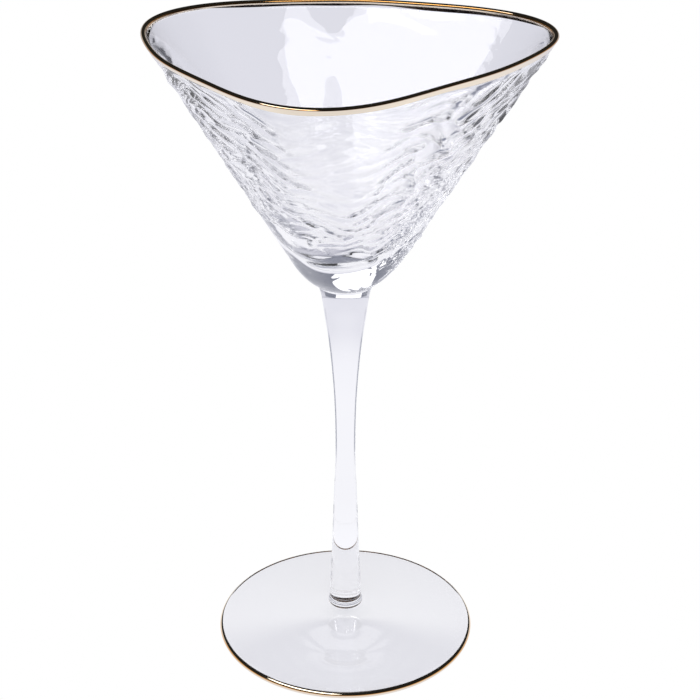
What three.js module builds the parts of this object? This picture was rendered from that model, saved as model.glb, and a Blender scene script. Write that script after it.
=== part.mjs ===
// Martini glass with a soft three-cornered bowl, a drawn stem and a round foot.
// Millimetres, +Z up. The origin is on the table, at the centre of the foot.
//
// From the table up: foot, foot_button, stem, bowl. Two gold bands, bowl_rim_gold and
// foot_rim_gold, coat the lip and the foot's edge. Every piece is a solid of revolution;
// the bowl and its band are then pressed into a rounded triangle.

import * as THREE from 'three';

// ---- driving dimensions ----------------------------------------------------------

const GAP = 0.3; // clearance between neighbouring solids

// foot
const FOOT_RADIUS = 40.1;
const FOOT_EDGE_HEIGHT = 2.4; // thickness at the rounded edge
const FOOT_CONTACT_RADIUS = 38.6; // the flat underside's radius
const FOOT_CENTRE_HEIGHT = 8.5; // top of the dome, under the button
const FOOT_NECK_RADIUS = 5.0; // where the dome meets the button
const FOOT_SLOPE_SHARE = 0.88; // of the dome's rise, the rest being the fillet at the neck
const FOOT_FILLET_POWER = 5; // how closely that fillet hugs the neck

// gold bands: a skin over the glass
const GOLD_SKIN = 0.35;
const FOOT_GOLD_BOTTOM = 0.5;
const FOOT_GOLD_TOP = 1.9;
const RIM_GOLD_HEIGHT = 2.4; // down the outside of the bowl

// button between foot and stem
const BUTTON_RADIUS = 5.35;
const BUTTON_BOTTOM = FOOT_CENTRE_HEIGHT + GAP;
const BUTTON_HEIGHT = 1.7;
const BUTTON_FACE_RADIUS = 4.7;

// bowl: a ball-bottomed cone
const RIM_HEIGHT = 190; // mean height of the lip's outer edge
const LIP_RISE = 0.75; // the lip's crown above that edge
const RIM_RADIUS = 53.9; // mean outer radius at the lip
const LIP_THICKNESS = 1.6;
const BALL_RADIUS = 18.2; // outside of the bowl's rounded bottom
const BALL_CENTRE_HEIGHT = 135.6;
const CAVITY_BALL_RADIUS = 19; // inside of the bowl's rounded bottom
const CAVITY_FLOOR_HEIGHT = 130;

// stem
const STEM_BOTTOM = BUTTON_BOTTOM + BUTTON_HEIGHT + GAP;
const STEM_TOP_RADIUS = 8.3;

// [height, radius] of the drawn stem, from the button to the flare under the bowl
const STEM_OUTLINE = [
  [STEM_BOTTOM, 4.95],
  [31, 4.15],
  [46, 3.65],
  [64, 3.05],
  [80, 3.3],
  [91, 4.0],
  [101, 5.0],
  [108, 6.0],
  [113.5, 6.75],
  [117, 7.4],
];

// rounded triangle: three corners, one of them facing front
const CORNER_ANGLE = THREE.MathUtils.degToRad(-96.9);
const CORNER_SWELL = 0.115; // third harmonic, as a share of the radius
const CORNER_CREASE = 0.02; // sixth harmonic, flattens the sides
const OVAL_SWELL = 0.055; // second harmonic, wider than it is deep
const ROUND_BELOW_RADIUS = 7; // the bowl is round where it meets the stem
const FULL_ABOVE_RADIUS = 18; // and fully three-cornered above this radius
const RIM_DIP = 0.5; // the lip dips at its corners and lifts between them
const RIM_SHIFT = -1.2; // the mouth sits slightly to one side, along X

// facets
const ROUND_SEGMENTS = 64;
const STEM_SEGMENTS = 28;
const ARC_STEPS = 6;

// ---- colours ---------------------------------------------------------------------

function glass() {
  return new THREE.MeshStandardMaterial({
    color: 0xf3f3f8,
    roughness: 0.02,
    metalness: 0,
    transparent: true,
    opacity: 0.35,
  });
}

function gold() {
  return new THREE.MeshStandardMaterial({ color: 0xd9b46c, roughness: 0.12, metalness: 1 });
}

// ---- helpers ---------------------------------------------------------------------

function point(radius, height) {
  return new THREE.Vector2(radius, height);
}

// Points along an arc in the (radius, height) plane, angles measured from +radius.
function arc(centreHeight, radius, from, to, steps) {
  const points = [];
  for (let i = 0; i <= steps; i += 1) {
    const angle = THREE.MathUtils.lerp(from, to, i / steps);
    points.push(point(radius * Math.cos(angle), centreHeight + radius * Math.sin(angle)));
  }
  points[0].x = Math.abs(points[0].x) < 1e-9 ? 0 : points[0].x;
  return points;
}

// Angle on a ball where a straight wall to the far point leaves it.
function tangentAngle(centreHeight, radius, far) {
  const towardsFar = Math.atan2(far.y - centreHeight, far.x);
  const distance = Math.hypot(far.y - centreHeight, far.x);
  return towardsFar - Math.acos(radius / distance);
}

// Turn a profile about +Z. The profile runs with the solid on its left.
function turned(profile, segments) {
  return new THREE.LatheGeometry(profile, segments).rotateX(Math.PI / 2);
}

// Press a turned shape into the rounded triangle of the bowl.
function pressedTriangle(geometry) {
  const vertices = geometry.getAttribute('position');
  const bottom = BALL_CENTRE_HEIGHT - BALL_RADIUS;
  for (let i = 0; i < vertices.count; i += 1) {
    const x = vertices.getX(i);
    const y = vertices.getY(i);
    const z = vertices.getZ(i);
    const radius = Math.hypot(x, y);
    const angle = Math.atan2(y, x);
    const corner = 3 * (angle - CORNER_ANGLE);
    const swell =
      CORNER_SWELL * Math.cos(corner) +
      CORNER_CREASE * Math.cos(2 * corner) +
      OVAL_SWELL * Math.cos(2 * angle);
    const amount = THREE.MathUtils.smoothstep(radius, ROUND_BELOW_RADIUS, FULL_ABOVE_RADIUS);
    const rise = THREE.MathUtils.clamp((z - bottom) / (RIM_HEIGHT - bottom), 0, 1);
    const scale = 1 + amount * swell;
    const dip = RIM_DIP * rise * rise * Math.cos(corner);
    vertices.setXYZ(i, x * scale + RIM_SHIFT * rise, y * scale, z - dip);
  }
  geometry.computeVertexNormals();
  return geometry;
}

function part(name, geometry, material) {
  const mesh = new THREE.Mesh(geometry, material);
  mesh.name = name;
  return mesh;
}

// ---- foot ------------------------------------------------------------------------

// Height of the foot's domed top at a radius.
function domeHeight(radius) {
  const outer = FOOT_RADIUS - radius;
  const share = outer / (FOOT_RADIUS - FOOT_NECK_RADIUS);
  const rise = FOOT_CENTRE_HEIGHT - FOOT_EDGE_HEIGHT;
  const fillet = (1 - FOOT_SLOPE_SHARE) * share ** FOOT_FILLET_POWER;
  return FOOT_EDGE_HEIGHT + rise * (FOOT_SLOPE_SHARE * share + fillet);
}

function foot() {
  const edge = FOOT_RADIUS - GOLD_SKIN - GAP;
  const profile = [
    point(0, 0),
    point(FOOT_CONTACT_RADIUS, 0),
    point(edge, FOOT_GOLD_BOTTOM),
    point(edge, FOOT_GOLD_TOP),
    point(edge - GAP, FOOT_EDGE_HEIGHT),
  ];
  for (const radius of [34, 24, 15, 11, 9, 7.5, 6, FOOT_NECK_RADIUS]) {
    profile.push(point(radius, domeHeight(radius)));
  }
  profile.push(point(0, FOOT_CENTRE_HEIGHT));
  return part('foot', turned(profile, ROUND_SEGMENTS), glass());
}

function footRimGold() {
  const inner = FOOT_RADIUS - GOLD_SKIN;
  const bevel = GOLD_SKIN / 2;
  const profile = [
    point(inner, FOOT_GOLD_BOTTOM),
    point(FOOT_RADIUS - bevel, FOOT_GOLD_BOTTOM),
    point(FOOT_RADIUS, FOOT_GOLD_BOTTOM + bevel),
    point(FOOT_RADIUS, FOOT_GOLD_TOP - bevel),
    point(FOOT_RADIUS - bevel, FOOT_GOLD_TOP),
    point(inner, FOOT_GOLD_TOP),
    point(inner, FOOT_GOLD_BOTTOM),
  ];
  return part('foot_rim_gold', turned(profile, ROUND_SEGMENTS), gold());
}

function footButton() {
  const middle = BUTTON_BOTTOM + BUTTON_HEIGHT / 2;
  const profile = [point(0, BUTTON_BOTTOM)];
  for (let i = 0; i <= ARC_STEPS; i += 1) {
    const angle = THREE.MathUtils.lerp(-Math.PI / 2, Math.PI / 2, i / ARC_STEPS);
    const bulge = (BUTTON_RADIUS - BUTTON_FACE_RADIUS) * Math.cos(angle);
    profile.push(point(BUTTON_FACE_RADIUS + bulge, middle + (BUTTON_HEIGHT / 2) * Math.sin(angle)));
  }
  profile.push(point(0, BUTTON_BOTTOM + BUTTON_HEIGHT));
  return part('foot_button', turned(profile, STEM_SEGMENTS), glass());
}

// ---- stem ------------------------------------------------------------------------

// The stem's top is dished to take the bowl's rounded bottom.
function stem() {
  const cradle = BALL_RADIUS + GAP;
  const rimAngle = -Math.acos(STEM_TOP_RADIUS / cradle);
  const dish = arc(BALL_CENTRE_HEIGHT, cradle, rimAngle, -Math.PI / 2, 3);
  dish[dish.length - 1].x = 0;
  const profile = [point(0, STEM_BOTTOM)];
  for (const [height, radius] of STEM_OUTLINE) {
    profile.push(point(radius, height));
  }
  profile.push(...dish);
  return part('stem', turned(profile, STEM_SEGMENTS), glass());
}

// ---- bowl ------------------------------------------------------------------------

// Outer radius of the straight wall at a height.
function wallRadius(height) {
  const lip = point(RIM_RADIUS, RIM_HEIGHT);
  const angle = tangentAngle(BALL_CENTRE_HEIGHT, BALL_RADIUS, lip);
  const foot = arc(BALL_CENTRE_HEIGHT, BALL_RADIUS, angle, angle, 1)[0];
  const share = (height - foot.y) / (lip.y - foot.y);
  return THREE.MathUtils.lerp(foot.x, lip.x, share);
}

function bowl() {
  const lip = point(RIM_RADIUS, RIM_HEIGHT);
  const mouth = point(RIM_RADIUS - LIP_THICKNESS, RIM_HEIGHT);
  const cavityCentre = CAVITY_FLOOR_HEIGHT + CAVITY_BALL_RADIUS;
  const outerAngle = tangentAngle(BALL_CENTRE_HEIGHT, BALL_RADIUS, lip);
  const innerAngle = tangentAngle(cavityCentre, CAVITY_BALL_RADIUS, mouth);
  const bandBottom = RIM_HEIGHT - RIM_GOLD_HEIGHT;
  const skin = GOLD_SKIN + GAP;

  const profile = arc(BALL_CENTRE_HEIGHT, BALL_RADIUS, -Math.PI / 2, outerAngle, ARC_STEPS);
  for (const height of [145, 165, bandBottom - GAP]) {
    profile.push(point(wallRadius(height), height));
  }
  profile.push(point(wallRadius(bandBottom - GAP) - skin, bandBottom - GAP));
  profile.push(point(RIM_RADIUS - skin, RIM_HEIGHT + LIP_RISE - skin));
  profile.push(point(RIM_RADIUS - LIP_THICKNESS, RIM_HEIGHT + LIP_RISE - skin));

  const cavity = arc(cavityCentre, CAVITY_BALL_RADIUS, -Math.PI / 2, innerAngle, ARC_STEPS);
  const wallFoot = cavity[cavity.length - 1];
  for (const share of [0.3, 0.65]) {
    cavity.push(point(
      THREE.MathUtils.lerp(wallFoot.x, mouth.x, share),
      THREE.MathUtils.lerp(wallFoot.y, mouth.y, share),
    ));
  }
  profile.push(...cavity.reverse());
  return part('bowl', pressedTriangle(turned(profile, ROUND_SEGMENTS)), glass());
}

// An upside-down L in section: down the outside of the lip and over its crown.
function bowlRimGold() {
  const bottom = RIM_HEIGHT - RIM_GOLD_HEIGHT;
  const crown = RIM_HEIGHT + LIP_RISE;
  const inside = RIM_RADIUS - LIP_THICKNESS;
  const bevel = GOLD_SKIN;
  const profile = [
    point(wallRadius(bottom) - GOLD_SKIN, bottom),
    point(wallRadius(bottom), bottom),
    point(RIM_RADIUS, RIM_HEIGHT),
    point(RIM_RADIUS - bevel, crown),
    point(inside, crown),
    point(inside, crown - GOLD_SKIN),
    point(RIM_RADIUS - GOLD_SKIN, crown - GOLD_SKIN),
    point(wallRadius(bottom) - GOLD_SKIN, bottom),
  ];
  return part('bowl_rim_gold', pressedTriangle(turned(profile, ROUND_SEGMENTS)), gold());
}

// ---- assembly --------------------------------------------------------------------

const group = new THREE.Group();
group.add(foot(), footRimGold(), footButton(), stem(), bowl(), bowlRimGold());

export default group;
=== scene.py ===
import math

import bpy
import numpy as np
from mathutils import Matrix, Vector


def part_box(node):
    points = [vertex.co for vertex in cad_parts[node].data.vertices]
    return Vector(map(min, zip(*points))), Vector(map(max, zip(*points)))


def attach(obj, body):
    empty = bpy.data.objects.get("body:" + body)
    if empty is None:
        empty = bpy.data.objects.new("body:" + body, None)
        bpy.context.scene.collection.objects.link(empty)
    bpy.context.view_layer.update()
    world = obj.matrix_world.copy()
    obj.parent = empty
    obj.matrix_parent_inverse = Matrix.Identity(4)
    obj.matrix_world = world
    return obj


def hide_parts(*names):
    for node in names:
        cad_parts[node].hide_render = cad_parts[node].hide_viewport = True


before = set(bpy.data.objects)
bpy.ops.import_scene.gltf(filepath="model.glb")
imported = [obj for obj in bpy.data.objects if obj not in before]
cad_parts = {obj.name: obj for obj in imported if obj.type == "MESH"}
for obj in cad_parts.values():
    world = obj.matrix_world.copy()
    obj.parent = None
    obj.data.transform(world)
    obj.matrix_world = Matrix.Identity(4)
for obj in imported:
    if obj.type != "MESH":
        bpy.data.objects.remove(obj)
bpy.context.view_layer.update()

# ---- the glass's own sizes, in millimetres, as the CAD frame has them --------------

MM = 0.001

# The bowl before it is pressed: a straight wall that leaves a ball, and a hollow with a round
# floor. The lip rises LIP_RISE over the rim, and the stem meets the ball at JOINT_RADIUS.
LIP_THICKNESS = 1.6
LIP_RISE = 0.75
RIM_RADIUS = 53.9
BALL_RADIUS = 18.2
BALL_CENTRE = 135.6
CAVITY_RADIUS = 19.0
CAVITY_FLOOR = 130.0
JOINT_RADIUS = 8.3

# How it is pressed into a rounded triangle: where one corner points, how far the corners and
# the oval swell as shares of the radius, and the radii between which the pressing sets in.
CORNER_ANGLE = math.radians(-96.9)
CORNER_SWELL = 0.115
CORNER_CREASE = 0.02
OVAL_SWELL = 0.055
ROUND_BELOW = 7.0
FULL_ABOVE = 18.0
# The corners of the rim dip by RIM_DIP, and the whole rim leans aside by RIM_SHIFT.
RIM_DIP = 0.5
RIM_SHIFT = -1.2
RIM_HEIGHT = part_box("bowl_rim_gold")[1].z / MM - LIP_RISE - RIM_DIP

# The foot: a cone takes SLOPE_SHARE of its rise, and a fillet at the neck takes the rest.
FOOT_RADIUS = 40.1
FOOT_EDGE = 2.4
NECK_RADIUS = 5.0
SLOPE_SHARE = 0.88
FILLET_POWER = 5

COLUMNS = 512


# ---- curves ------------------------------------------------------------------------


def smoothstep(x, low, high):
    t = np.clip((x - low) / (high - low), 0, 1)
    return t * t * (3 - 2 * t)


def arc(centre, radius, start, stop, count):
    """Points on an arc in the (radius, height) plane, angles from +radius in radians."""
    centre_radius, centre_height = centre
    angles = np.linspace(start, stop, count)
    return [(centre_radius + radius * math.cos(a), centre_height + radius * math.sin(a)) for a in angles]


def line(start, stop, count):
    """Points on a straight line, without its first one."""
    return [tuple(np.array(start) + (np.array(stop) - start) * k / count) for k in range(1, count + 1)]


def tangent_angle(centre_height, radius, far):
    """Angle on a ball where a straight wall to the far point leaves it."""
    rise = far[1] - centre_height
    return math.atan2(rise, far[0]) - math.acos(radius / math.hypot(rise, far[0]))


# ---- meshes ------------------------------------------------------------------------


def press(radius, angle, height):
    """Presses a turned shape into the bowl's rounded triangle."""
    bottom = BALL_CENTRE - BALL_RADIUS
    corner = 3 * (angle - CORNER_ANGLE)
    swell = CORNER_SWELL * np.cos(corner) + CORNER_CREASE * np.cos(2 * corner)
    swell = swell + OVAL_SWELL * np.cos(2 * angle)
    rise = np.clip((height - bottom) / (RIM_HEIGHT - bottom), 0, 1)
    scaled = radius * (1 + smoothstep(radius, ROUND_BELOW, FULL_ABOVE) * swell)
    x = scaled * np.cos(angle) + RIM_SHIFT * rise
    y = scaled * np.sin(angle)
    z = height - RIM_DIP * rise**2 * np.cos(corner)
    return np.stack([x, y, z], axis=-1)


def turn(radius, angle, height):
    """Leaves a turned shape round."""
    return np.stack([radius * np.cos(angle), radius * np.sin(angle), height + 0 * angle], axis=-1)


def revolve(name, profile, materials, shape=turn, columns=COLUMNS, relief=None, closed=False):
    """A closed mesh turned about +Z.

    profile is a list of (radius, height, material index of the strip up to the next point).
    An open profile starts and ends on the axis, and a closed one joins its last point to its first.
    """
    radius = np.array([p[0] for p in profile])[:, None]
    height = np.array([p[1] for p in profile])[:, None]
    angle = np.arange(columns)[None, :] * (2 * math.pi / columns)
    if relief is not None:
        push_radius, push_height = relief(radius, height, angle)
        radius, height = radius + push_radius, height + push_height
    grid = shape(radius, angle, height)
    rows = len(profile)
    first, last = (0, rows) if closed else (1, rows - 1)
    points = grid[first:last].reshape(-1, 3)
    faces, slots = [], []
    ring_count = last - first
    steps = ring_count if closed else ring_count - 1
    for i in range(steps):
        low, high = i * columns, ((i + 1) % ring_count) * columns
        for j in range(columns):
            k = (j + 1) % columns
            faces.append((low + j, low + k, high + k, high + j))
        slots += [profile[first + i][2]] * columns
    if not closed:
        bottom, top = len(points), len(points) + 1
        points = np.vstack([points, grid[0].mean(axis=0), grid[-1].mean(axis=0)])
        end = (ring_count - 1) * columns
        for j in range(columns):
            k = (j + 1) % columns
            faces.append((bottom, k, j))
            faces.append((end + j, end + k, top))
            slots += [profile[0][2], profile[-2][2]]
    mesh = bpy.data.meshes.new(name)
    mesh.from_pydata((points * MM).tolist(), [], faces)
    for material in materials:
        mesh.materials.append(material)
    mesh.polygons.foreach_set("material_index", slots)
    mesh.polygons.foreach_set("use_smooth", [True] * len(faces))
    mesh.update()
    piece = bpy.data.objects.new(name, mesh)
    bpy.context.scene.collection.objects.link(piece)
    return piece


def with_slot(points, slot):
    """Profile points from (radius, height) pairs, all with one material index."""
    return [(r, z, slot) for r, z in points]


# ---- materials ---------------------------------------------------------------------


def node_of(tree, kind, **values):
    """A new node with some of its properties set."""
    node = tree.nodes.new(kind)
    for key, value in values.items():
        setattr(node, key, value)
    return node


def ramp_of(tree, stops, factor):
    """A colour by factor, from (position, colour) stops."""
    ramp = node_of(tree, "ShaderNodeValToRGB")
    elements = ramp.color_ramp.elements
    while len(elements) < len(stops):
        elements.new(0.5)
    for element, (position, colour) in zip(elements, stops):
        element.position = position
        element.color = (*colour, 1)
    tree.links.new(factor, ramp.inputs["Fac"])
    return ramp.outputs["Color"]


def pick(tree, factor, otherwise, chosen):
    """otherwise where factor is 0, chosen where it is 1; each is a colour or an output."""
    mix = node_of(tree, "ShaderNodeMix", data_type="RGBA")
    tree.links.new(factor, mix.inputs["Factor"])
    for socket, value in (("A", otherwise), ("B", chosen)):
        if isinstance(value, tuple):
            mix.inputs[socket].default_value = (*value, 1)
        else:
            tree.links.new(value, mix.inputs[socket])
    return mix.outputs["Result"]


def smooth_step(tree, value, low, high):
    step = node_of(tree, "ShaderNodeMapRange", interpolation_type="SMOOTHSTEP")
    step.inputs["From Min"].default_value = low
    step.inputs["From Max"].default_value = high
    tree.links.new(value, step.inputs["Value"])
    return step.outputs[0]


def math_of(tree, operation, first, second=None):
    node = node_of(tree, "ShaderNodeMath", operation=operation)
    tree.links.new(first, node.inputs[0])
    if second is not None:
        tree.links.new(second, node.inputs[1])
    return node.outputs[0]


def principled(name, **values):
    material = bpy.data.materials.new(name)
    material.use_nodes = True
    shader = material.node_tree.nodes["Principled BSDF"]
    for socket, value in values.items():
        shader.inputs[socket.replace("_", " ")].default_value = value
    return material, shader


def noise_of(tree, scale, detail=2.0):
    """Soft clouds over the piece, about 1 / scale metres across."""
    coords = node_of(tree, "ShaderNodeTexCoord")
    noise = node_of(tree, "ShaderNodeTexNoise")
    noise.inputs["Scale"].default_value = scale
    noise.inputs["Detail"].default_value = detail
    tree.links.new(coords.outputs["Object"], noise.inputs["Vector"])
    return noise.outputs[0]


def glass(name, ripple_size, ripple_height):
    """Clear glass with a faint uneven tint and shallow ripples, in metres."""
    material, shader = principled(name, Roughness=0.0, IOR=1.5)
    shader.inputs["Transmission Weight"].default_value = 1.0
    tree = material.node_tree
    tint = ramp_of(tree, GLASS_TINT, noise_of(tree, 60))
    tree.links.new(tint, shader.inputs["Base Color"])
    bump = node_of(tree, "ShaderNodeBump")
    bump.inputs["Distance"].default_value = ripple_height
    tree.links.new(noise_of(tree, 1 / ripple_size), bump.inputs["Height"])
    tree.links.new(bump.outputs[0], shader.inputs["Normal"])
    return material


def fused(name):
    """Where two pieces of glass are melted together there is no surface to see."""
    material, shader = principled(name, Roughness=0.0, Alpha=0.0)
    material.surface_render_method = "BLENDED"
    tree = material.node_tree
    tree.links.new(ramp_of(tree, GLASS_TINT, noise_of(tree, 60)), shader.inputs["Base Color"])
    return material


def gold(name, colour_and_painted_glint_by_tilt, patchy, metallic):
    """Fired gold film: its colour follows the tilt of the surface, with the brush's patches. The orange
    bands in its ramp are painted reflection, warm glints at the edges of highlights.
    """
    material, shader = principled(name, Metallic=metallic)
    tree = material.node_tree
    geometry = node_of(tree, "ShaderNodeNewGeometry")
    split = node_of(tree, "ShaderNodeSeparateXYZ")
    tree.links.new(geometry.outputs["Normal"], split.inputs[0])
    clouds = noise_of(tree, 110, 3.0)
    spread = node_of(tree, "ShaderNodeMapRange")
    spread.inputs["From Min"].default_value = 0.3
    spread.inputs["From Max"].default_value = 0.7
    spread.inputs["To Min"].default_value = -patchy
    spread.inputs["To Max"].default_value = patchy
    tree.links.new(clouds, spread.inputs["Value"])
    tilt = math_of(tree, "ADD", split.outputs["Z"], spread.outputs[0])
    share = node_of(tree, "ShaderNodeMapRange")
    share.inputs["From Min"].default_value = -1.0
    tree.links.new(tilt, share.inputs["Value"])
    # The base colour carries painted reflection by tilt: orange glints on the pale gold.
    tree.links.new(ramp_of(tree, colour_and_painted_glint_by_tilt, share.outputs[0]), shader.inputs["Base Color"])
    worn = node_of(tree, "ShaderNodeMapRange")
    worn.inputs["To Min"].default_value = 0.02
    worn.inputs["To Max"].default_value = 0.12
    tree.links.new(clouds, worn.inputs["Value"])
    tree.links.new(worn.outputs[0], shader.inputs["Roughness"])
    return material


GLASS_TINT = [(0.35, (0.986, 0.986, 0.993)), (0.65, (0.990, 0.990, 0.996))]
# Film colour by (1 + the z of the surface's normal) / 2, on the film's outside and its back. The orange
# and brown bands are painted reflection: warm glints placed by tilt at the lower edges of highlights and
# between the dark and pale parts of the film.
GOLD_AND_PAINTED_GLINT_BY_TILT = [
    (0.0, (0.88, 0.78, 0.62)),
    (0.54, (0.90, 0.79, 0.66)),
    (0.61, (0.80, 0.46, 0.18)),
    (0.75, (0.74, 0.36, 0.10)),
    (0.79, (0.93, 0.82, 0.64)),
]
# On the dark back of the film, the brown-orange band at one tilt is a painted reflection streak.
BACK_AND_PAINTED_GLINT_BY_TILT = [
    (0.0, (0.05, 0.03, 0.02)),
    (0.60, (0.05, 0.03, 0.02)),
    (0.76, (0.30, 0.13, 0.04)),
    (0.84, (0.48, 0.21, 0.06)),
    (0.90, (0.06, 0.035, 0.02)),
]
CLEAR = glass("glass_clear", 0.012, 0.00002)
HAMMERED = glass("glass_hammered", 0.009, 0.00002)
FUSED = fused("glass_fused")
GOLD = gold("gold_mirror", GOLD_AND_PAINTED_GLINT_BY_TILT, 0.06, 1.0)
GOLD_BACK = gold("gold_film_back", BACK_AND_PAINTED_GLINT_BY_TILT, 0.25, 0.55)


# ---- hammered relief ---------------------------------------------------------------

# Hammer marks round the glass, their height over their width, and a factor on their depth.
DIMPLES_ROUND = 25
DIMPLE_ASPECT = 0.54
DIMPLE_DEPTH = 1.25
# How far marks stray in their cells, how unlike their depths are, how sharp the ridges between
# them are, and the level of cell_edges that stays on the wall.
CELL_JITTER = 0.38
DEPTH_SPREAD = (0.6, 1.25)
RIDGE_SHARPNESS = 9.0
RIDGE_LEVEL = 0.35
# Heights where the hammering starts at the left and at the right, and where it stops.
HAMMER_LOW_LEFT = 141.0
HAMMER_LOW_RIGHT = 119.0
HAMMER_HIGH = 188.1
INNER_WAVE = 0.006
# How far the lip's gold reaches down the outside of the wall.
BAND_DROP = 1.45


def wall_radius(height):
    """Radius of the straight outside wall at a height, before it is pressed."""
    lip = (RIM_RADIUS, RIM_HEIGHT)
    angle = tangent_angle(BALL_CENTRE, BALL_RADIUS, lip)
    foot = (BALL_RADIUS * math.cos(angle), BALL_CENTRE + BALL_RADIUS * math.sin(angle))
    return foot[0] + (height - foot[1]) * (lip[0] - foot[0]) / (lip[1] - foot[1])


# How far the outside wall leans from upright.
WALL_LEAN = math.atan2(wall_radius(RIM_HEIGHT) - wall_radius(150), RIM_HEIGHT - 150)


def cell_edges(u, v):
    """0 in the middle of each hammer mark and higher towards its edges, with ridges rounded off.

    u counts marks round the glass and v counts rows up the wall. The marks are jittered, and
    the ones across a shared edge are blended by how near they are.
    """
    rng = np.random.default_rng(7)
    rows = int(v.max()) + 6
    offset_u = rng.uniform(-CELL_JITTER, CELL_JITTER, (rows, DIMPLES_ROUND))
    offset_v = rng.uniform(-CELL_JITTER, CELL_JITTER, (rows, DIMPLES_ROUND))
    depth = rng.uniform(*DEPTH_SPREAD, (rows, DIMPLES_ROUND))
    cell_u, cell_v = np.floor(u).astype(int), np.floor(v).astype(int)
    total, weights = 0, 0
    for du in (-1, 0, 1):
        for dv in (-1, 0, 1):
            iu = (cell_u + du) % DIMPLES_ROUND
            iv = np.clip(cell_v + dv + 2, 0, rows - 1)
            pu = cell_u + du + 0.5 + offset_u[iv, iu] + 0.5 * ((cell_v + dv) % 2)
            pv = cell_v + dv + 0.5 + offset_v[iv, iu]
            distance = (u - pu) ** 2 + (v - pv) ** 2
            weight = np.exp(-RIDGE_SHARPNESS * distance)
            total = total + weight * distance * depth[iv, iu]
            weights = weights + weight
    return total / weights


def hammering_strength(radius, height, angle):
    """0 where the wall is smooth, and a little over 1 at the sides, where it is deepest."""
    lean = 0.5 + 0.5 * np.cos(angle - math.radians(40))
    low = HAMMER_LOW_LEFT + (HAMMER_LOW_RIGHT - HAMMER_LOW_LEFT) * lean
    fade = smoothstep(height, low, low + 4) * (1 - smoothstep(height, HAMMER_HIGH - 2.5, HAMMER_HIGH))
    calm_back = 1 - 0.975 * smoothstep(np.sin(angle), 0.0, 0.5) * smoothstep(height, 140, 165)
    front = np.exp(-(((np.mod(angle, 2 * math.pi) - math.radians(268)) / 0.42) ** 2))
    calm_front = 1 - 0.8 * front * smoothstep(height, 147, 161)
    bold_sides = 1 + 0.35 * smoothstep(np.abs(np.cos(angle)), 0.3, 0.8)
    smaller_low = (radius / RIM_RADIUS) ** 0.75
    return fade * calm_back * calm_front * bold_sides * smaller_low


def hammered(radius, height, angle):
    """Offsets (radius, height) that press hollows into the outside and raise ridges between."""
    on_ball = np.abs(np.hypot(radius, height - BALL_CENTRE) - BALL_RADIUS) < 0.02
    outside = on_ball | (np.abs(radius - wall_radius(height)) < 0.02)
    u = angle * DIMPLES_ROUND / (2 * math.pi) + 0 * height
    row_step = 2 * math.pi / DIMPLES_ROUND * DIMPLE_ASPECT * math.sin(WALL_LEAN)
    v = np.log(np.maximum(radius, 5) / 5) / row_step + 0 * angle
    u = u + 0.35 * np.sin(1.7 * v + 3 * angle) + 0.2 * np.sin(0.6 * v - 5 * angle)
    v = v + 0.45 * np.sin(5 * angle + 0.35 * v) + 0.3 * np.sin(11 * angle - 0.5 * v)
    depth = DIMPLE_DEPTH * hammering_strength(radius, height, angle)
    push = outside * depth * (cell_edges(u, v) - RIDGE_LEVEL)
    push = push + inner_waves(radius, height, angle)
    slide = band_waver(radius, height, angle)
    out = push * math.cos(WALL_LEAN) + slide * math.tan(WALL_LEAN)
    return out, -push * math.sin(WALL_LEAN) + slide


def inner_waves(radius, height, angle):
    """Shallow unevenness of the blown inside, outward in millimetres."""
    inside = (radius < wall_radius(height) - 1) & (height > BALL_CENTRE)
    fade = smoothstep(height, 140, 150) * (1 - smoothstep(height, 182, 188))
    waves = np.sin(13 * angle + 1.3 * np.sin(height / 9))
    waves = waves + 0.7 * np.sin(21 * angle - height / 5 + 1)
    waves = waves + 0.8 * np.sin(height / 3.2 + 2 * np.sin(5 * angle))
    return inside * fade * INNER_WAVE * waves


def band_waver(radius, height, angle):
    """How far the lower edge of the lip's gold wanders up or down the wall."""
    outside = np.abs(radius - wall_radius(height)) < 0.2
    near = 1 - smoothstep(np.abs(height - (RIM_HEIGHT - BAND_DROP)), 0.1, 1.1)
    wander = -0.30 * np.cos(angle - 0.3) + 0.14 * np.sin(5 * angle + 1) + 0.10 * np.sin(11 * angle)
    return outside * near * wander


# ---- the pieces --------------------------------------------------------------------

# The gold's thickness, how far down inside the lip it reaches, and the room left under it.
BAND_SKIN = 0.12
BAND_INSIDE = 0.5
BAND_ROOM = 0.02


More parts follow.
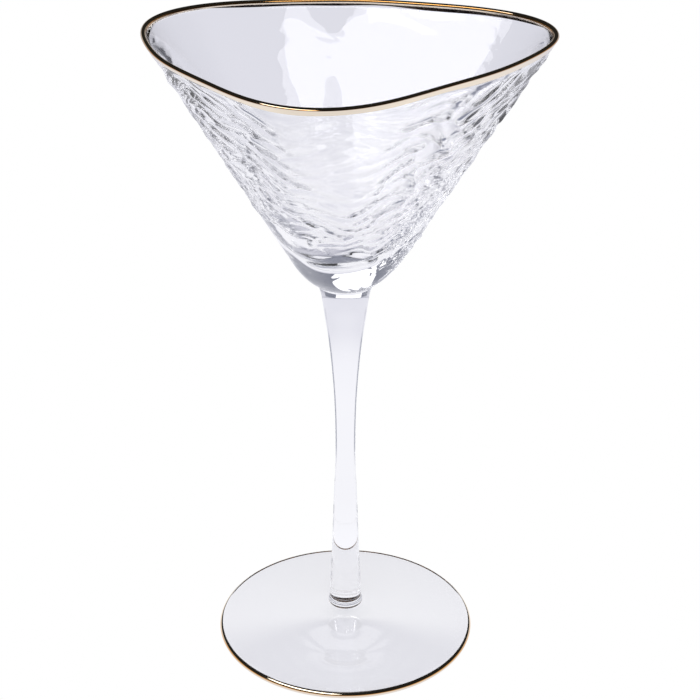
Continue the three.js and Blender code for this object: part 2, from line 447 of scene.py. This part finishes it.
def make_bowl():
    """Up the outside from the stem, over the lip and down the inside to the hollow's floor."""
    lip = (RIM_RADIUS, RIM_HEIGHT)
    mouth = (RIM_RADIUS - LIP_THICKNESS, RIM_HEIGHT)
    cavity_centre = CAVITY_FLOOR + CAVITY_RADIUS
    outer = tangent_angle(BALL_CENTRE, BALL_RADIUS, lip)
    inner = tangent_angle(cavity_centre, CAVITY_RADIUS, mouth)
    joint = -math.acos(JOINT_RADIUS / BALL_RADIUS)
    band_low = RIM_HEIGHT - BAND_DROP
    profile = with_slot(arc((0, BALL_CENTRE), BALL_RADIUS, -math.pi / 2, joint, 6)[:-1], 1)
    ball = arc((0, BALL_CENTRE), BALL_RADIUS, joint, outer, 26)
    profile += with_slot(ball, 0)
    wall_top = (wall_radius(band_low), band_low)
    wall = line(ball[-1], wall_top, 190)
    profile += with_slot(wall, 0)
    profile[-1] = (*wall_top, 1)
    skin = BAND_SKIN + BAND_ROOM
    half = LIP_THICKNESS / 2
    for k in range(17):
        a = math.pi * k / 16
        r = RIM_RADIUS - half + (half - skin) * math.cos(a)
        profile.append((r, RIM_HEIGHT + (LIP_RISE - skin) * math.sin(a), 1))
    low_inside = (mouth[0] - BAND_INSIDE * 0.6, RIM_HEIGHT - BAND_INSIDE)
    cavity = arc((0, cavity_centre), CAVITY_RADIUS, inner, -math.pi / 2, 40)
    profile.append((low_inside[0] + skin, low_inside[1], 0))
    profile += with_slot([low_inside], 0)
    profile += with_slot(line(low_inside, cavity[0], 60), 0)
    profile += with_slot(cavity[1:], 0)
    return revolve("bowl_hammered", profile, [HAMMERED, FUSED], shape=press, relief=hammered)


def slid(radius, height, angle):
    """The gold's edge wanders along the wall exactly as the glass under it does."""
    slide = band_waver(radius, height, angle)
    return slide * math.tan(WALL_LEAN), slide


def make_rim_gold():
    """A thin closed shell: its outer side from band_low over the lip, then back underneath."""
    band_low = RIM_HEIGHT - BAND_DROP
    half = LIP_THICKNESS / 2
    middle = RIM_RADIUS - half
    low_inside = (RIM_RADIUS - LIP_THICKNESS - BAND_INSIDE * 0.6, RIM_HEIGHT - BAND_INSIDE)
    profile = with_slot(line((wall_radius(band_low) - 0.001, band_low), (RIM_RADIUS, RIM_HEIGHT), 8), 0)
    profile.insert(0, (wall_radius(band_low), band_low, 0))
    for k in range(1, 17):
        a = math.pi * k / 16
        profile.append((middle + half * math.cos(a), RIM_HEIGHT + LIP_RISE * math.sin(a), 0))
    profile.append((*low_inside, 1))
    profile.append((low_inside[0] + BAND_SKIN, low_inside[1], 1))
    for k in range(16, -1, -1):
        a = math.pi * k / 16
        r = middle + (half - BAND_SKIN) * math.cos(a)
        profile.append((r, RIM_HEIGHT + (LIP_RISE - BAND_SKIN) * math.sin(a), 1))
    return revolve("rim_gold_band", profile, [GOLD, GOLD_BACK], press, relief=slid, closed=True)


def cad_profile(node):
    """Heights and radii of the rings of a round CAD node, from the bottom up."""
    rings = {}
    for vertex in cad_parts[node].data.vertices:
        key = round(vertex.co.z / MM, 2)
        rings[key] = max(rings.get(key, 0), math.hypot(vertex.co.x, vertex.co.y) / MM)
    return sorted(rings.items())


def smooth_curve(knots, heights):
    """Radius at each height on a smooth curve through the knots."""
    z = np.array([k[0] for k in knots])
    r = np.array([k[1] for k in knots])
    slope = np.gradient(r, z)
    out = []
    for h in heights:
        i = int(np.clip(np.searchsorted(z, h) - 1, 0, len(z) - 2))
        span = z[i + 1] - z[i]
        t = (h - z[i]) / span
        out.append(
            r[i] * (2 * t**3 - 3 * t**2 + 1)
            + slope[i] * span * (t**3 - 2 * t**2 + t)
            + r[i + 1] * (3 * t**2 - 2 * t**3)
            + slope[i + 1] * span * (t**3 - t**2)
        )
    return out


BUTTON_LOW = (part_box("foot")[1].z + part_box("foot_button")[0].z) / 2 / MM
BUTTON_HIGH = (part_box("foot_button")[1].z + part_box("stem")[0].z) / 2 / MM
BUTTON_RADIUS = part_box("foot_button")[1].x / MM
# The bead's flat faces, which the foot and the stem are fused to.
BUTTON_FACE = BUTTON_RADIUS * 0.9


def make_stem():
    """The stem's outline, with a dish on top that the bowl's ball is fused into."""
    joint_height = BALL_CENTRE - math.sqrt(BALL_RADIUS**2 - JOINT_RADIUS**2)
    knots = [k for k in cad_profile("stem") if k[1] > 1 and k[0] < BALL_CENTRE - BALL_RADIUS - 0.31]
    base_radius = knots[0][1]
    knots = [(BUTTON_HIGH, base_radius)] + knots[1:] + [(joint_height, JOINT_RADIUS)]
    heights = np.linspace(BUTTON_HIGH, joint_height, 150)
    radii = smooth_curve(knots, heights)
    profile = with_slot([(0, BUTTON_HIGH)], 1)
    profile += with_slot([(base_radius * 0.5, BUTTON_HIGH)], 1)
    profile += with_slot(list(zip(radii, heights)), 0)
    dish = arc((0, BALL_CENTRE), BALL_RADIUS, -math.acos(JOINT_RADIUS / BALL_RADIUS), -math.pi / 2, 8)
    profile[-1] = (*profile[-1][:2], 1)
    profile += with_slot(dish[1:], 1)
    return revolve("stem_drawn", profile, [CLEAR, FUSED], columns=128)


def make_button():
    face = BUTTON_FACE
    middle = (BUTTON_LOW + BUTTON_HIGH) / 2
    half = (BUTTON_HIGH - BUTTON_LOW) / 2
    profile = with_slot([(0, BUTTON_LOW), (face / 2, BUTTON_LOW)], 1)
    for k in range(21):
        a = -math.pi / 2 + math.pi * k / 20
        profile.append((face + (BUTTON_RADIUS - face) * math.cos(a), middle + half * math.sin(a), 0))
    profile[-1] = (*profile[-1][:2], 1)
    profile += with_slot([(face / 2, BUTTON_HIGH), (0, BUTTON_HIGH)], 1)
    return revolve("foot_button_bead", profile, [CLEAR, FUSED], columns=128)


def dome_height(radius):
    """Height of the foot's upper side: a cone that steepens close to the neck."""
    share = min(1, (FOOT_RADIUS - radius) / (FOOT_RADIUS - NECK_RADIUS))
    fillet = (1 - SLOPE_SHARE) * share**FILLET_POWER
    return FOOT_EDGE + (BUTTON_LOW - FOOT_EDGE) * (SLOPE_SHARE * share + fillet)


EDGE_WIDTH = 1.5
# The underside is raised by KICK in the middle, and flat outside KICK_RADIUS.
KICK = 0.9
KICK_RADIUS = 37.0


def edge_point(angle, skin=0.0):
    """A point on the foot's rounded edge: -90 degrees is its underside, 90 its top."""
    half = FOOT_EDGE / 2
    r = FOOT_RADIUS - EDGE_WIDTH + (EDGE_WIDTH - skin) * math.cos(angle)
    return r, half + (half - skin) * math.sin(angle)


# The part of the foot's rounded edge that the gold covers.
GOLD_FROM = math.radians(-55)
GOLD_TO = math.radians(62)


def make_foot():
    profile = []
    for k in range(31):
        r = KICK_RADIUS * k / 30
        profile.append((r, KICK * (1 - (r / KICK_RADIUS) ** 2), 0))
    for a in np.linspace(-math.pi / 2, GOLD_FROM, 5):
        profile.append((*edge_point(a), 0))
    profile[-1] = (*profile[-1][:2], 1)
    for a in np.linspace(GOLD_FROM, GOLD_TO, 13):
        profile.append((*edge_point(a, BAND_SKIN + BAND_ROOM), 1))
    for a in np.linspace(GOLD_TO, math.radians(86), 5):
        profile.append((*edge_point(a), 0))
    face = BUTTON_FACE
    top_edge = FOOT_RADIUS - EDGE_WIDTH
    for k in range(1, 121):
        r = top_edge - (top_edge - face) * (k / 120) ** 0.6
        profile.append((r, dome_height(r), 0))
    profile[-1] = (face, BUTTON_LOW, 1)
    profile += with_slot([(face / 2, BUTTON_LOW), (0, BUTTON_LOW)], 1)
    return revolve("foot_disc", profile, [CLEAR, FUSED], columns=256)


def make_foot_gold():
    angles = np.linspace(GOLD_FROM, GOLD_TO, 15)
    profile = [(*edge_point(a), 0) for a in angles]
    profile += [(*edge_point(a, BAND_SKIN), 1) for a in angles[::-1]]
    return revolve("foot_gold_band", profile, [GOLD, GOLD_BACK], columns=256, closed=True)


PIECES = [
    (make_foot, "foot", "glass_clear"),
    (make_foot_gold, "foot_rim_gold", "gold_band"),
    (make_button, "foot_button", "glass_clear"),
    (make_stem, "stem", "glass_clear"),
    (make_bowl, "bowl", "glass_hammered"),
    (make_rim_gold, "bowl_rim_gold", "gold_band"),
]
for make, node, slot in PIECES:
    piece = make()
    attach(piece, "root")
    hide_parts(node)


# ---- the studio --------------------------------------------------------------------

WHITE = (1, 1, 1)
FLOOR_SIZE = 3.0

# The camera sees a white floor and a white sky. The tones from here on are what other light sees.
# Radiance of the floor by distance from the glass, as a share of FLOOR_SIZE.
FLOOR_THROUGH = [
    (0.0, (1.0, 1.0, 1.03)),
    (0.014, (0.98, 0.98, 1.02)),
    (0.022, (0.93, 0.93, 0.97)),
    (0.055, (0.94, 0.94, 0.98)),
    (0.085, (0.92, 0.92, 0.97)),
    (0.14, (0.78, 0.78, 0.85)),
    (0.27, (0.76, 0.76, 0.83)),
    (0.30, (0.34, 0.35, 0.42)),
    (0.36, (0.60, 0.60, 0.68)),
]
# The backdrop card behind the glass, in metres: x of the four edges of its three panels at
# its foot and at its top. The middle panel is lit and the others are dark.
BACKDROP_AWAY = 0.95
BACKDROP_FOOT = (-1.0, -0.5, 0.27, 0.8)
BACKDROP_TOP = (-1.0, -0.5, -0.02, 0.8)
BACKDROP_HEIGHT = 0.66
BACKDROP_LIGHT = (1.2, 1.2, 1.24)
BACKDROP_DARK = (0.16, 0.17, 0.22)
# Dark patches of floor to the glass's left and right, seen only by refracted light: how far
# aside, as |x| over the distance away, and from and to which distance.
SIDE_DARK = (0.16, 0.175, 0.25)
BESIDE_SHARE = (0.75, 0.88)
BESIDE_FROM = (0.08, 0.12)
BESIDE_TO = (0.60, 0.40)
# The tones above and the sky's fade in from the front of the glass to its back, by y over the
# distance away. In front, the floor and the refracted sky have the two plain tones below.
BEHIND = (-0.55, 0.03)
FLOOR_ELSEWHERE = (0.86, 0.86, 0.91)
SKY_ELSEWHERE = (0.78, 0.78, 0.84)
# Radiance of the sky by the sine of its elevation, to refracted and to mirrored light.
SKY_THROUGH = [
    (0.0, (0.55, 0.55, 0.62)),
    (0.10, (0.45, 0.45, 0.53)),
    (0.22, (0.22, 0.23, 0.29)),
    (1.0, (0.16, 0.17, 0.22)),
]
SKY_MIRRORED = [
    (0.0, (0.55, 0.50, 0.45)),
    (0.05, (0.30, 0.27, 0.24)),
    (0.12, (0.02, 0.018, 0.015)),
    (1.0, (0.012, 0.012, 0.012)),
]


def emitter(name, colour):
    """Glowing material that light reflected anywhere on its way passes straight through."""
    material = bpy.data.materials.new(name)
    material.use_nodes = True
    tree = material.node_tree
    tree.nodes.clear()
    out = node_of(tree, "ShaderNodeOutputMaterial")
    emission = node_of(tree, "ShaderNodeEmission")
    emission.inputs["Color"].default_value = (*colour, 1)
    clear = node_of(tree, "ShaderNodeBsdfTransparent")
    path = node_of(tree, "ShaderNodeLightPath")
    mix = node_of(tree, "ShaderNodeMixShader")
    tree.links.new(path.outputs["Glossy Depth"], mix.inputs[0])
    tree.links.new(emission.outputs[0], mix.inputs[1])
    tree.links.new(clear.outputs[0], mix.inputs[2])
    tree.links.new(mix.outputs[0], out.inputs["Surface"])
    return material


def make_backdrop():
    """A card behind the glass that only refracted light sees: a lit middle between dark sides."""
    points = []
    for low, high in zip(BACKDROP_FOOT, BACKDROP_TOP):
        points += [(low, BACKDROP_AWAY, 0), (high, BACKDROP_AWAY, BACKDROP_HEIGHT)]
    mesh = bpy.data.meshes.new("backdrop")
    mesh.from_pydata(points, [], [(2 * k, 2 * k + 2, 2 * k + 3, 2 * k + 1) for k in range(3)])
    mesh.materials.append(emitter("backdrop_dark", BACKDROP_DARK))
    mesh.materials.append(emitter("backdrop_lit", BACKDROP_LIGHT))
    mesh.polygons.foreach_set("material_index", [0, 1, 0])
    backdrop = bpy.data.objects.new("backdrop", mesh)
    bpy.context.scene.collection.objects.link(backdrop)
    backdrop.visible_camera = False
    backdrop.visible_glossy = False


def make_floor():
    """A glowing disc: white to the camera, and toned by place to all other light."""
    bpy.ops.mesh.primitive_circle_add(
        vertices=96, radius=FLOOR_SIZE, fill_type="NGON", location=(0, 0, -0.0001)
    )
    floor = bpy.context.object
    floor.name = "floor"
    material = bpy.data.materials.new("floor_white")
    material.use_nodes = True
    tree = material.node_tree
    tree.nodes.clear()
    out = node_of(tree, "ShaderNodeOutputMaterial")
    emission = node_of(tree, "ShaderNodeEmission")
    path = node_of(tree, "ShaderNodeLightPath")
    coords = node_of(tree, "ShaderNodeTexCoord")
    split = node_of(tree, "ShaderNodeSeparateXYZ")
    tree.links.new(coords.outputs["Object"], split.inputs[0])
    distance = node_of(tree, "ShaderNodeVectorMath", operation="LENGTH")
    tree.links.new(coords.outputs["Object"], distance.inputs[0])
    away = distance.outputs["Value"]
    share = node_of(tree, "ShaderNodeMath", operation="MULTIPLY")
    share.inputs[1].default_value = 1 / FLOOR_SIZE
    tree.links.new(away, share.inputs[0])
    aside = math_of(tree, "ABSOLUTE", split.outputs["X"])
    beside = smooth_step(tree, math_of(tree, "DIVIDE", aside, away), *BESIDE_SHARE)
    beside = math_of(tree, "MULTIPLY", beside, smooth_step(tree, away, *BESIDE_FROM))
    dark = math_of(tree, "MULTIPLY", beside, smooth_step(tree, away, *BESIDE_TO))
    dark = math_of(tree, "MULTIPLY", dark, path.outputs["Is Transmission Ray"])
    through = ramp_of(tree, FLOOR_THROUGH, share.outputs[0])
    behind = smooth_step(tree, math_of(tree, "DIVIDE", split.outputs["Y"], away), *BEHIND)
    through = pick(tree, behind, FLOOR_ELSEWHERE, through)
    through = pick(tree, dark, through, SIDE_DARK)
    colour = pick(tree, path.outputs["Is Camera Ray"], through, WHITE)
    tree.links.new(colour, emission.inputs["Color"])
    tree.links.new(emission.outputs[0], out.inputs["Surface"])
    floor.data.materials.append(material)


def make_world():
    """The sky: white to the camera, and toned by direction to all other light."""
    world = bpy.data.worlds.new("studio")
    bpy.context.scene.world = world
    world.use_nodes = True
    tree = world.node_tree
    tree.nodes.clear()
    out = node_of(tree, "ShaderNodeOutputWorld")
    background = node_of(tree, "ShaderNodeBackground")
    coords = node_of(tree, "ShaderNodeTexCoord")
    split = node_of(tree, "ShaderNodeSeparateXYZ")
    path = node_of(tree, "ShaderNodeLightPath")
    tree.links.new(coords.outputs["Generated"], split.inputs[0])
    through = ramp_of(tree, SKY_THROUGH, split.outputs["Z"])
    mirrored = ramp_of(tree, SKY_MIRRORED, split.outputs["Z"])
    through = pick(tree, smooth_step(tree, split.outputs["Y"], *BEHIND), SKY_ELSEWHERE, through)
    colour = pick(tree, path.outputs["Is Transmission Ray"], mirrored, through)
    colour = pick(tree, path.outputs["Is Camera Ray"], colour, WHITE)
    tree.links.new(colour, background.inputs["Color"])
    tree.links.new(background.outputs[0], out.inputs["Surface"])


SOFTBOX_TARGET = (0, 0, 0.15)


def make_softbox(name, azimuth, elevation, distance, width, height, radiance):
    """A rectangular light that faces SOFTBOX_TARGET; the angles are in degrees."""
    light = bpy.data.lights.new(name, "AREA")
    light.shape = "RECTANGLE"
    light.size = width
    light.size_y = height
    light.energy = radiance * math.pi * width * height
    softbox = bpy.data.objects.new(name, light)
    a, e = math.radians(azimuth), math.radians(elevation)
    away = np.array([math.cos(e) * math.cos(a), math.cos(e) * math.sin(a), math.sin(e)])
    softbox.location = np.array(SOFTBOX_TARGET) + away * distance
    softbox.rotation_euler = (math.pi / 2 - e, 0, a + math.pi / 2)
    bpy.context.scene.collection.objects.link(softbox)


# The camera: focal length in millimetres, sideways shift, place in metres, and how far it looks
# down in degrees.
CAMERA_LENS = 86.8
CAMERA_SHIFT = 0.0065
CAMERA_PLACE = (0, -0.4502, 0.3159)
CAMERA_TILT = 25.89


def make_camera():
    camera = bpy.data.cameras.new("camera")
    camera.sensor_width = 36
    camera.lens = CAMERA_LENS
    camera.shift_x = CAMERA_SHIFT
    camera.dof.use_dof = False
    viewer = bpy.data.objects.new("camera", camera)
    viewer.location = CAMERA_PLACE
    viewer.rotation_euler = (math.radians(90 - CAMERA_TILT), 0, 0)
    bpy.context.scene.collection.objects.link(viewer)
    bpy.context.scene.camera = viewer


# Each softbox stands where the inside of the bowl's far wall reflects it: azimuth, elevation,
# distance, width, height and radiance. The upper is seen in the wall's inner surface and the
# lower in its outer one.
SOFTBOXES = {
    "upper_softbox": (-135.4, 47.5, 1.3, 1.24, 0.32, 3.0),
    "lower_softbox": (-129.6, 36.5, 1.3, 1.44, 0.20, 3.0),
}

make_floor()
make_backdrop()
make_world()
for softbox_name, placing in SOFTBOXES.items():
    make_softbox(softbox_name, *placing)
make_camera()
bpy.context.scene.view_settings.view_transform = "Standard"
# Light crosses many surfaces inside thick glass, and is black past these limits.
bpy.context.scene.cycles.max_bounces = 32
bpy.context.scene.cycles.glossy_bounces = 24
bpy.context.scene.cycles.transmission_bounces = 32
